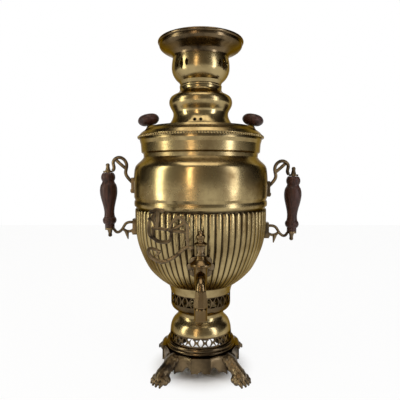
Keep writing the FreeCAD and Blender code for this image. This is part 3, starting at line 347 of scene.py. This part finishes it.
def pale_paper(name, glow):
    """Matt white paper that the camera and reflections see as white."""
    tree = new_material(name)
    rays = add_node(tree, "LightPath")
    seen = add_node(tree, "Math", {"operation": "MAXIMUM"}, i0=rays.outputs["Is Camera Ray"],
                    i1=rays.outputs["Is Glossy Ray"])
    seen = add_node(tree, "Math", {"operation": "MAXIMUM"}, i0=seen.outputs[0],
                    i1=rays.outputs["Is Transmission Ray"])
    place = add_node(tree, "TexCoord").outputs["Object"]
    away = add_node(tree, "VectorMath", {"operation": "LENGTH"}, i0=place)
    clear = add_node(tree, "MapRange", {"interpolation_type": "SMOOTHSTEP"},
                     Value=away.outputs["Value"], From_Min=SHADOW_INNER, From_Max=SHADOW_OUTER,
                     To_Max=glow)
    share = add_node(tree, "Math", {"operation": "MULTIPLY"}, i0=seen.outputs[0],
                     i1=clear.outputs[0])
    paper = add_node(tree, "BsdfDiffuse", Color=srgb(PAPER))
    white = add_node(tree, "Emission", Color=(1, 1, 1, 1), Strength=1.0)
    mix = add_node(tree, "MixShader", i0=share.outputs[0], i1=paper.outputs[0],
                   i2=white.outputs[0])
    add_node(tree, "OutputMaterial", Surface=mix.outputs[0])


def studio_world():
    """White to the camera; to the brass, a room that is pale in front and dark behind."""
    world = bpy.data.worlds.new("studio")
    world.use_nodes = True
    tree = world.node_tree
    tree.nodes.clear()
    way = add_node(tree, "TexCoord").outputs["Generated"]
    part = add_node(tree, "SeparateXYZ", Vector=way)
    front = add_node(tree, "MapRange", {"interpolation_type": "SMOOTHSTEP"},
                     Value=part.outputs["Y"], From_Min=0.35, From_Max=-0.85)
    tone = add_node(tree, "Mix", OF_COLOURS, i0=front.outputs[0], i6=srgb(ROOM_DARK),
                    i7=srgb(ROOM_PALE))
    room = add_node(tree, "Background", Color=tone.outputs[2], Strength=ROOM_STRENGTH)
    white = add_node(tree, "Background", Color=(1, 1, 1, 1), Strength=1.0)
    rays = add_node(tree, "LightPath")
    seen = add_node(tree, "MixShader", i0=rays.outputs["Is Camera Ray"], i1=room.outputs[0],
                    i2=white.outputs[0])
    add_node(tree, "OutputWorld", Surface=seen.outputs[0])
    return world


# Mesh tools

def add_piece(name, mesh, material, smooth=True):
    """Put a finished mesh in the scene with its material and slot."""
    piece = bpy.data.objects.new(name, mesh)
    bpy.context.scene.collection.objects.link(piece)
    mesh.materials.clear()
    mesh.materials.append(material)
    if smooth:
        mesh.polygons.foreach_set("use_smooth", [True] * len(mesh.polygons))
    return piece


def grid_mesh(name, points):
    """A mesh from rows of points: each row is a ring, and the last row joins the first."""
    rows, columns = points.shape[:2]
    faces = []
    for row in range(rows):
        below = row * columns
        above = ((row + 1) % rows) * columns
        for column in range(columns):
            after = (column + 1) % columns
            faces.append((below + column, below + after, above + after, above + column))
    mesh = bpy.data.meshes.new(name)
    mesh.from_pydata(points.reshape(-1, 3).tolist(), [], faces)
    mesh.update()
    return mesh


def mesh_of(name, work):
    """The mesh that finished work gives."""
    mesh = bpy.data.meshes.new(name)
    work.to_mesh(mesh)
    work.free()
    return mesh


def skin_rings(work, rings):
    """Join rings of vertices, one after another, and close both ends."""
    sides = len(rings[0])
    for below, above in zip(rings, rings[1:]):
        for number in range(sides):
            after = (number + 1) % sides
            work.faces.new((below[number], below[after], above[after], above[number]))
    work.faces.new(list(reversed(rings[0])))
    work.faces.new(rings[-1])


def turned_ring(work, radius, turns, middle, level):
    """A level ring of vertices round an upright axis, which stands at y = middle."""
    return [work.verts.new((radius * math.cos(turn), middle + radius * math.sin(turn), level))
            for turn in turns]


def add_tube(work, centres, radii, sides=14, flat=1.0):
    """A closed tube along a line, whose cross-section is flattened front to back."""
    along = np.gradient(centres, axis=0)
    along /= np.linalg.norm(along, axis=1)[:, None]
    depth = np.array([0.0, 1.0, 0.0])
    side = np.cross(along, depth)
    side /= np.linalg.norm(side, axis=1)[:, None]
    turns = np.linspace(0, 2 * np.pi, sides, endpoint=False)
    rings = []
    for centre, across, radius in zip(centres, side, radii):
        ring = [centre + radius * (math.cos(turn) * across + flat * math.sin(turn) * depth)
                for turn in turns]
        rings.append([work.verts.new(point) for point in ring])
    skin_rings(work, rings)


def smooth_line(points, steps):
    """A Catmull-Rom line through points, with the same number of steps in each span."""
    points = np.array(points, dtype=float)
    padded = np.vstack([2 * points[0] - points[1], points, 2 * points[-1] - points[-2]])
    line = []
    for number in range(1, len(padded) - 2):
        before, start, end, after = padded[number - 1:number + 3]
        for share in np.linspace(0, 1, steps, endpoint=False):
            line.append(0.5 * (2 * start + (end - before) * share
                               + (2 * before - 5 * start + 4 * end - after) * share ** 2
                               + (3 * start - before - 3 * end + after) * share ** 3))
    line.append(points[-1])
    return np.array(line)


def bowl_outline():
    """The bowl's outer radii and their heights, from its foot to its rim."""
    low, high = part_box("bowl")
    shape = smooth_line(BOWL_PROFILE, BOWL_SPAN_ROWS)
    radii = BOWL_FOOT_RADIUS + (high[0] - BOWL_FOOT_RADIUS) * np.clip(shape[:, 0], 0, 1.0)
    heights = low[2] + (high[2] - low[2]) * shape[:, 1]
    return radii, heights


def bowl_radius_at(height):
    """The bowl's outer radius at a height."""
    radii, heights = bowl_outline()
    return np.interp(height, heights, radii)


def paw_balls(toe):
    """The balls that a paw is modelled from: (outwards, across, up, radius), in millimetres."""
    balls = [(55, 0, 29.5, 6.4), (58, 0, 27.8, 7.4), (61.5, 0, 25.4, 8.0), (65, 0, 22.4, 8.2),
             (68.5, 0, 19.0, 8.4), (72, 0, 15.8, 9.0), (76, 0, 12.6, 9.6), (79, 0, 10.0, 9.2),
             (73, 0, 8, 8.0), (70, 0, 5.5, 5.2), (57, 7.5, 29.0, 5.2), (57, -7.5, 29.0, 5.2),
             (62, 6.5, 25.0, 5.0), (62, -6.5, 25.0, 5.0)]
    # Four toes, the outer ones set back, each from its knuckle to its claw.
    for across in (-8.6, -2.9, 2.9, 8.6):
        back = abs(across) * 0.34
        balls += [(80 - back, across * 0.82, 10.4, toe * 1.28),
                  (85.5 - back, across, 8.4, toe),
                  (89.4 - back, across * 1.04, 5.4, toe * 0.88),
                  (91.8 - back, across * 1.06, 2.2, toe * 0.5)]
    for side in (-1, 1):
        balls += [(74, 8 * side, 6.5, 5.0), (79, 9 * side, 5.2, 4.6), (60, 4.5 * side, 24, 4.4),
                  (66, 6.4 * side, 18.6, 4.2)]
    return balls


# Operators, one for each group of like pieces

class SAMOVAR_OT_finishes(bpy.types.Operator):
    """Make the materials and give one to every node of the frame"""
    bl_idname = "samovar.finishes"
    bl_label = "Finishes"

    def execute(self, context):
        chosen = context.scene.samovar_colours
        colour = {name: tuple(getattr(chosen, name)) for name in
                  ("brass", "patina", "cast", "cast_dark", "wood", "wood_dark", "steel", "iron",
                   "rubber")}
        spun_brass("spun_sheet_brass", colour["brass"], colour["patina"])
        # The tap is cast and then turned, so it has fine rings from a tool as well.
        spun_brass("cast_tap_brass", colour["cast"], colour["patina"], wear=0.05)
        # A darker copy of the sheet brass: painted shade for the pieces that sit darker.
        spun_brass("shaded_sheet_brass", colour["cast"], colour["cast_dark"], wear=0.06)
        sand_cast_brass("sand_cast_brass", colour["cast"], colour["cast_dark"])
        turned_walnut("turned_walnut", colour["wood"], colour["wood_dark"])
        plain_stock("drawn_steel", colour["steel"], metallic=1.0, smoothest=0.25, roughest=0.45,
                    grain_size=2)
        plain_stock("cast_iron", colour["iron"], metallic=0.6, smoothest=0.6, roughest=0.85,
                    grain_size=1.5)
        plain_stock("moulded_rubber", colour["rubber"], metallic=0.0, smoothest=0.6,
                    roughest=0.8, grain_size=1)
        for entry in frame["record"]["subparts"]:
            name = entry["node"]
            node = frame["nodes"][name]
            finish = finish_of("shaded_sheet_brass" if name in SHADED_PIECES
                               else FINISHES[entry["material_slot"]])
            if not node.material_slots:
                node.data.materials.append(finish)
            for place in node.material_slots:
                place.link = "OBJECT"
                place.material = finish
        return {"FINISHED"}


class SAMOVAR_OT_bowl(bpy.types.Operator):
    """Make the bowl with its upright reeds, rounded at the top"""
    bl_idname = "samovar.bowl"
    bl_label = "Reeded bowl"

    def execute(self, context):
        low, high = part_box("bowl")
        sizes = chosen_sizes()
        count = sizes.reed_count
        columns = count * REED_COLUMNS
        angles = np.linspace(0, 2 * np.pi, columns, endpoint=False)
        across = (angles * count / (2 * np.pi)) % 1.0 - 0.5
        reed_top = high[2] - sizes.reed_top
        reed_foot = low[2] + REED_FOOT

        def ring(radius, height):
            return np.stack([radius * np.cos(angles), radius * np.sin(angles),
                             np.full(columns, height)], axis=1)

        outer, inner, groove_shade = [], [], []
        for radius, height in zip(*bowl_outline()):
            pitch = 2 * np.pi * radius / count
            half = pitch * REED_HALF_WIDTH
            past = max(height - (reed_top - half), 0.0)
            away = np.hypot(across * pitch, past) / half
            crown = np.sqrt(np.clip(1 - away ** 2, 0, 1)) ** 0.8
            # The grooves run out into the plain bands at the rim and the foot.
            at_rim = np.clip((height - reed_top - 1.5 * MM) / (2.5 * MM), 0, 1)
            at_foot = np.clip((reed_foot - height) / (2 * MM), 0, 1)
            fade = max(at_rim, at_foot)
            sunk = sizes.reed_depth * (1 - crown) * (1 - fade)
            outer.append(ring(radius - sunk, height))
            inner.append(ring(radius - BOWL_WALL, height))
            # Painted shade, with tarnish, darkens the bottoms of the grooves, and none is on the
            # crowns.
            groove_shade.append(np.clip((1 - crown) * 1.5 - 0.40, 0, 1) * (1 - fade) * 0.92)
        mesh = grid_mesh("bowl_reeded", np.array(outer + inner[::-1]))
        shade = np.concatenate([np.array(groove_shade), np.zeros((len(inner), columns))]).reshape(-1)
        mesh.attributes.new("groove", "FLOAT", "POINT").data.foreach_set("value", shade)
        piece = add_piece("bowl_reeded", mesh, finish_of("spun_sheet_brass"))
        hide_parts("bowl")
        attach(piece, "root")
        return {"FINISHED"}


class SAMOVAR_OT_beading(bpy.types.Operator):
    """Make the string of beads round the edge of the lid"""
    bl_idname = "samovar.beading"
    bl_label = "Lid beading"

    def execute(self, context):
        low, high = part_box("lid_beading")
        sizes = chosen_sizes()
        ring = high[0] - sizes.bead_radius
        level = (low[2] + high[2]) / 2
        # A bead is a little taller than it is wide, and leans as the strands of a rope do.
        lean = Matrix.Rotation(math.radians(32), 4, "X")
        shape = Matrix.Diagonal((1.0, 1.0, 1.15, 1.0))
        work = bmesh.new()
        for number in range(sizes.bead_count):
            angle = 2 * math.pi * number / sizes.bead_count
            at = Matrix.Translation((ring * math.cos(angle), ring * math.sin(angle), level))
            turn = Matrix.Rotation(angle, 4, "Z") @ lean
            bmesh.ops.create_icosphere(work, subdivisions=2, radius=sizes.bead_radius,
                                       matrix=at @ turn @ shape)
        mesh = mesh_of("lid_bead_string", work)
        piece = add_piece("lid_bead_string", mesh, finish_of("spun_sheet_brass"))
        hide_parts("lid_beading")
        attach(piece, "lid")
        return {"FINISHED"}


class SAMOVAR_OT_rosette(bpy.types.Operator):
    """Make the flower-shaped plate that lies on the bowl behind the tap"""
    bl_idname = "samovar.rosette"
    bl_label = "Tap rosette"

    def execute(self, context):
        low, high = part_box("tap_rosette")
        outer = (high[0] - low[0]) / 2
        level = (high[2] + low[2]) / 2
        petals = 8
        angles = np.linspace(0, 2 * np.pi, petals * 24, endpoint=False)
        petal = np.abs(np.cos(petals / 2 * angles)) ** 0.7
        edge = outer * (0.84 + 0.16 * petal)
        hole = 7.0 * MM
        thinnest = 0.25 * MM
        buried = 0.4 * MM

        def ring(share, rise):
            radius = hole + (edge - hole) * share
            x = radius * np.cos(angles)
            z = level + radius * np.sin(angles)
            wall = np.sqrt(np.maximum(bowl_radius_at(z) ** 2 - x ** 2, 0))
            return np.stack([x, -wall - rise, z], axis=1)

        rings = []
        for share in np.linspace(0, 1, 22):
            # The petals' domes, the step round the boss and the clefts between the petals.
            rise = 2.5 * MM * (0.55 + 0.45 * petal) * (1 - share ** 6) ** 0.5
            rise -= 0.8 * MM * np.exp(-((share - 0.45) / 0.06) ** 2)
            rise -= 0.9 * MM * (1 - petal) ** 4 * share
            rings.append(ring(share, np.maximum(rise, thinnest)))
        rings += [ring(share, -buried) for share in (1.0, 0.0)]
        mesh = grid_mesh("tap_flower_plate", np.array(rings))
        piece = add_piece("tap_flower_plate", mesh, finish_of("sand_cast_brass"))
        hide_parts("tap_rosette")
        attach(piece, "root")
        return {"FINISHED"}


class SAMOVAR_OT_key(bpy.types.Operator):
    """Make the openwork key of the tap, cast as flattened scrolls with buds where they meet"""
    bl_idname = "samovar.key"
    bl_label = "Openwork key"

    def execute(self, context):
        low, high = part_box("tap_handle")
        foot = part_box("tap_bonnet")[1][2]
        middle = (low[1] + high[1]) / 2
        collar_radius = (high[1] - middle) * KEY_COLLAR_FIT
        work = bmesh.new()
        for radius, stroke in KEY_STROKES:
            line = smooth_line(stroke, 8) * MM
            centres = np.stack([line[:, 0], np.full(len(line), middle), line[:, 1] + foot],
                               axis=1)
            # A stroke is thickest halfway along.
            share = np.linspace(0, 1, len(line))
            swell = radius * MM * (0.82 + 0.30 * np.sin(np.pi * share))
            add_tube(work, centres, swell, flat=0.8)
        for across, up, radius in KEY_BUDS:
            at = Matrix.Translation((across * MM, middle, foot + up * MM))
            bmesh.ops.create_icosphere(work, subdivisions=3, radius=radius * MM,
                                       matrix=at @ Matrix.Diagonal((1.0, 0.85, 1.0, 1.0)))
        turns = np.linspace(0, 2 * np.pi, 40, endpoint=False)
        skin_rings(work, [turned_ring(work, collar_radius * size, turns, middle,
                                      foot + share * KEY_COLLAR_HEIGHT)
                          for share, size in KEY_COLLAR])
        mesh = mesh_of("tap_openwork_key", work)
        piece = add_piece("tap_openwork_key", mesh, finish_of("sand_cast_brass"))
        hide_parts("tap_handle")
        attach(piece, "tap_key")
        return {"FINISHED"}


class SAMOVAR_OT_spout_skirt(bpy.types.Operator):
    """Make the eight-sided skirt cast round the spout above its outlet"""
    bl_idname = "samovar.spout_skirt"
    bl_label = "Spout skirt"

    def execute(self, context):
        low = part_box("tap_body")[0]
        middle = low[1] + SPOUT_SETBACK
        outlet_top = low[2] + OUTLET_HEIGHT
        turns = [math.radians(22.5 + 45 * number) for number in range(8)]
        work = bmesh.new()
        skin_rings(work, [turned_ring(work, radius * MM, turns, middle, outlet_top + up * MM)
                          for up, radius in SKIRT_PROFILE])
        # Only the upright corners are eased, which are the edges that rise by over a millimetre.
        upright = [edge for edge in work.edges
                   if abs(edge.verts[0].co.z - edge.verts[1].co.z) > 1 * MM]
        bmesh.ops.bevel(work, geom=upright, offset=0.5 * MM, segments=2, affect="EDGES")
        mesh = mesh_of("tap_spout_skirt", work)
        piece = add_piece("tap_spout_skirt", mesh, finish_of("cast_tap_brass"),
                          smooth=False)
        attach(piece, "root")
        return {"FINISHED"}


class SAMOVAR_OT_aprons(bpy.types.Operator):
    """Make the scalloped aprons between the flat panels and the feet of the plinth"""
    bl_idname = "samovar.aprons"
    bl_label = "Plinth aprons"

    def execute(self, context):
        top = 35 * MM
        thickness = 1.6 * MM
        bulge = 1.2 * MM
        work = bmesh.new()
        for quarter in range(4):
            for side in (-1, 1):
                rings = []
                # From the edge of a flat panel, at 13.5 degrees, to the foot, at 40.
                for share in np.linspace(0, 1, 22):
                    bearing = math.radians(90 * quarter + side * (13.5 + 26.5 * share))
                    radius = (57.0 - 3.2 * math.sin(math.pi * share) + 2.5 * share) * MM
                    # The lower edge arches up, dips towards the foot and has small scallops.
                    arch = 4.2 * math.sin(math.pi * min(share / 0.55, 1))
                    dip = 11.4 * max(share - 0.5, 0)
                    scallop = 1.2 * math.sin(3 * math.pi * share)
                    ledge = (14.2 + (arch - dip) * 1.15 + scallop) * MM
                    levels = list(np.linspace(ledge, top, 5))
                    ring = []
                    for level, depth in ([(level, 0.0) for level in levels]
                                         + [(level, thickness) for level in levels[::-1]]):
                        swell = bulge * math.sin(math.pi * (level - ledge) / (top - ledge))
                        reach = radius + swell - depth
                        ring.append(work.verts.new((reach * math.cos(bearing),
                                                    reach * math.sin(bearing), level)))
                    rings.append(ring)
                skin_rings(work, rings)
        bmesh.ops.recalc_face_normals(work, faces=work.faces)
        mesh = mesh_of("plinth_aprons", work)
        piece = add_piece("plinth_aprons", mesh, finish_of("sand_cast_brass"))
        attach(piece, "root")
        return {"FINISHED"}


class SAMOVAR_OT_feet(bpy.types.Operator):
    """Make the four cast paw feet"""
    bl_idname = "samovar.feet"
    bl_label = "Paw feet"

    def execute(self, context):
        work = bmesh.new()
        for out, across, up, radius in paw_balls(chosen_sizes().toe_radius / MM):
            bmesh.ops.create_icosphere(work, subdivisions=3, radius=radius * MM,
                                       matrix=Matrix.Translation((out * MM, across * MM, up * MM)))
        clay = bpy.data.objects.new("paw_clay", mesh_of("paw_balls", work))
        context.scene.collection.objects.link(clay)
        remesh = clay.modifiers.new("skin", "REMESH")
        remesh.mode = "VOXEL"
        remesh.voxel_size = 0.85 * MM
        ease = clay.modifiers.new("ease", "SMOOTH")
        ease.factor = 0.6
        ease.iterations = 4
        done = clay.evaluated_get(context.evaluated_depsgraph_get())
        skin = bpy.data.meshes.new_from_object(done)
        bpy.data.objects.remove(clay)
        places = np.zeros(len(skin.vertices) * 3)
        skin.vertices.foreach_get("co", places)
        places = places.reshape(-1, 3)
        # A paw is cut off flat at the table and inside the wall of the plinth.
        places[:, 2] = np.maximum(places[:, 2], 0.0)
        places[:, 0] = np.maximum(places[:, 0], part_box("plinth")[1][0] - 4 * MM)
        for name, degrees in FEET.items():
            angle = math.radians(degrees)
            turned = places.copy()
            turned[:, 0] = places[:, 0] * math.cos(angle) - places[:, 1] * math.sin(angle)
            turned[:, 1] = places[:, 0] * math.sin(angle) + places[:, 1] * math.cos(angle)
            mesh = skin.copy()
            mesh.vertices.foreach_set("co", turned.reshape(-1))
            piece = add_piece("paw_" + name, mesh, finish_of("sand_cast_brass"))
            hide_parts("foot_" + name)
            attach(piece, "root")
        return {"FINISHED"}


class SAMOVAR_OT_stage(bpy.types.Operator):
    """Make the pale floor, the backdrop, the lamps and the camera"""
    bl_idname = "samovar.stage"
    bl_label = "Stage"

    def execute(self, context):
        scene = context.scene
        sizes = chosen_sizes()
        for name, (corners, glow) in SHEETS.items():
            mesh = bpy.data.meshes.new(name)
            mesh.from_pydata(corners, [], [(0, 1, 2, 3)])
            pale_paper(name + "_paper", glow)
            mesh.materials.append(finish_of(name + "_paper"))
            sheet = bpy.data.objects.new(name, mesh)
            scene.collection.objects.link(sheet)
        for name, (bearing, distance, level, width, tall, power, tint) in LAMPS.items():
            lamp = bpy.data.lights.new(name, "AREA")
            lamp.shape = "RECTANGLE"
            lamp.size = width
            lamp.size_y = tall
            lamp.energy = power
            lamp.color = srgb(tint)[:3]
            holder = bpy.data.objects.new(name, lamp)
            angle = math.radians(bearing)
            holder.location = (math.sin(angle) * distance, -math.cos(angle) * distance, level)
            aim = LAMPS_AIM - holder.location
            holder.rotation_euler = aim.to_track_quat("-Z", "Y").to_euler()
            scene.collection.objects.link(holder)
        scene.world = studio_world()
        scene.view_settings.view_transform = "Standard"
        camera = bpy.data.cameras.new("camera")
        camera.sensor_width = CAMERA_SENSOR
        camera.lens = CAMERA_LENS
        camera.shift_x, camera.shift_y = CAMERA_SHIFT
        camera.clip_start = CAMERA_NEAR
        holder = bpy.data.objects.new("camera", camera)
        holder.location = (0, -sizes.camera_distance, sizes.camera_height)
        holder.rotation_euler = (math.radians(90), 0, 0)
        scene.collection.objects.link(holder)
        scene.camera = holder
        return {"FINISHED"}


class SAMOVAR_PT_panel(bpy.types.Panel):
    """Lists the samovar's sizes, colours and pieces"""
    bl_idname = "SAMOVAR_PT_panel"
    bl_label = "Samovar"
    bl_space_type = "VIEW_3D"
    bl_region_type = "UI"
    bl_category = "Samovar"

    def draw(self, context):
        for group in (context.scene.samovar_sizes, context.scene.samovar_colours):
            for name in group.bl_rna.properties.keys():
                if name not in {"rna_type", "name"}:
                    self.layout.prop(group, name)
        for operator in OPERATORS:
            self.layout.operator(operator.bl_idname)


OPERATORS = (SAMOVAR_OT_finishes, SAMOVAR_OT_bowl, SAMOVAR_OT_beading, SAMOVAR_OT_rosette,
             SAMOVAR_OT_key, SAMOVAR_OT_spout_skirt, SAMOVAR_OT_aprons, SAMOVAR_OT_feet,
             SAMOVAR_OT_stage)
CLASSES = (SamovarSizes, SamovarColours) + OPERATORS + (SAMOVAR_PT_panel,)


def register():
    for item in CLASSES:
        bpy.utils.register_class(item)
    bpy.types.Scene.samovar_sizes = bpy.props.PointerProperty(type=SamovarSizes)
    bpy.types.Scene.samovar_colours = bpy.props.PointerProperty(type=SamovarColours)


def unregister():
    del bpy.types.Scene.samovar_sizes
    del bpy.types.Scene.samovar_colours
    for item in reversed(CLASSES):
        bpy.utils.unregister_class(item)


def main():
    register()
    bpy.ops.samovar.finishes()
    bpy.ops.samovar.bowl()
    bpy.ops.samovar.beading()
    bpy.ops.samovar.rosette()
    bpy.ops.samovar.key()
    bpy.ops.samovar.spout_skirt()
    bpy.ops.samovar.aprons()
    bpy.ops.samovar.feet()
    bpy.ops.samovar.stage()


if __name__ == "__main__":
    main()
